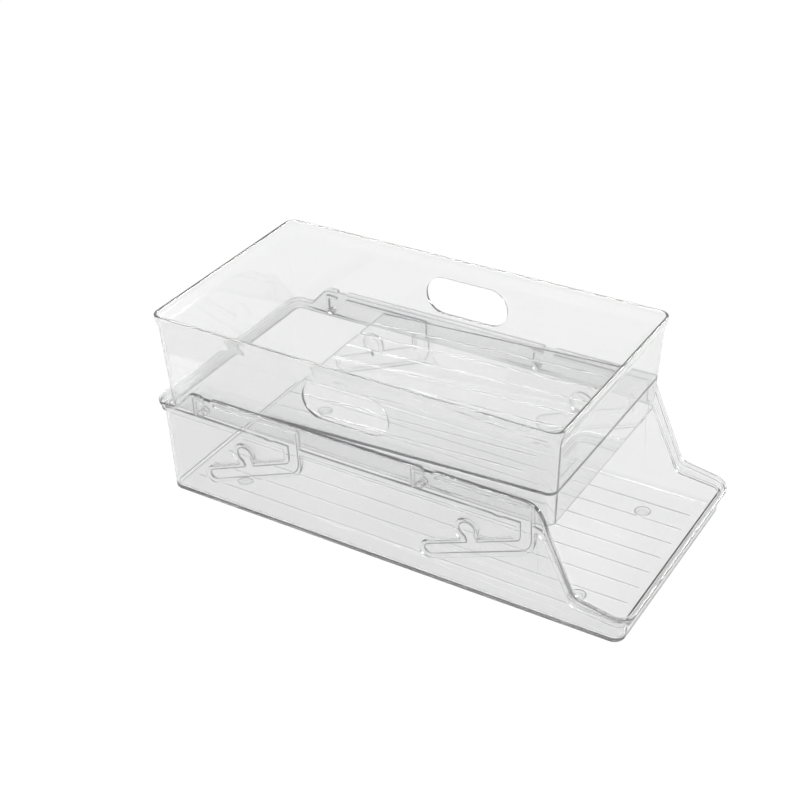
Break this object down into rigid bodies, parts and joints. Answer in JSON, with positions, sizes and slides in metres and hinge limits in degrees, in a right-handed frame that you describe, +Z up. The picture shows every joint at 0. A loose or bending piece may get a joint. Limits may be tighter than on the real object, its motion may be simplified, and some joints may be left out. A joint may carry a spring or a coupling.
{
  "type": "can organizer",
  "caption": "Two-deck clear can organizer: a low-lipped tray carries a bin with a sloping deck and hand holes on guide pins that slide in side tracks.",
  "frame": {"origin": "middle of the footprint, on the surface that the feet stand on", "axes": "+X towards the low front lip, +Y to the left seen from behind, +Z up"},
  "size_m": [0.3541, 0.1696, 0.1411],
  "materials": {
    "tray_plastic": "clear, high gloss",
    "bin_plastic": "clear, high gloss",
    "pin_plastic": "clear, gloss",
    "foot_pad": "clear, satin"
  },
  "bodies": {
    "tray": {"lower_tray": "tray_plastic", "foot_rear_left": "foot_pad", "foot_rear_right": "foot_pad", "foot_front_left": "foot_pad", "foot_front_right": "foot_pad"},
    "bin": {"upper_bin": "bin_plastic", "guide_pin_rear_left": "pin_plastic", "guide_pin_rear_right": "pin_plastic", "guide_pin_front_left": "pin_plastic", "guide_pin_front_right": "pin_plastic"}
  },
  "joints": [
    {"name": "bin_slide", "type": "slide", "parent": "tray", "child": "bin", "axis": [1, 0, 0], "range_m": [0, 0.055]}
  ]
}
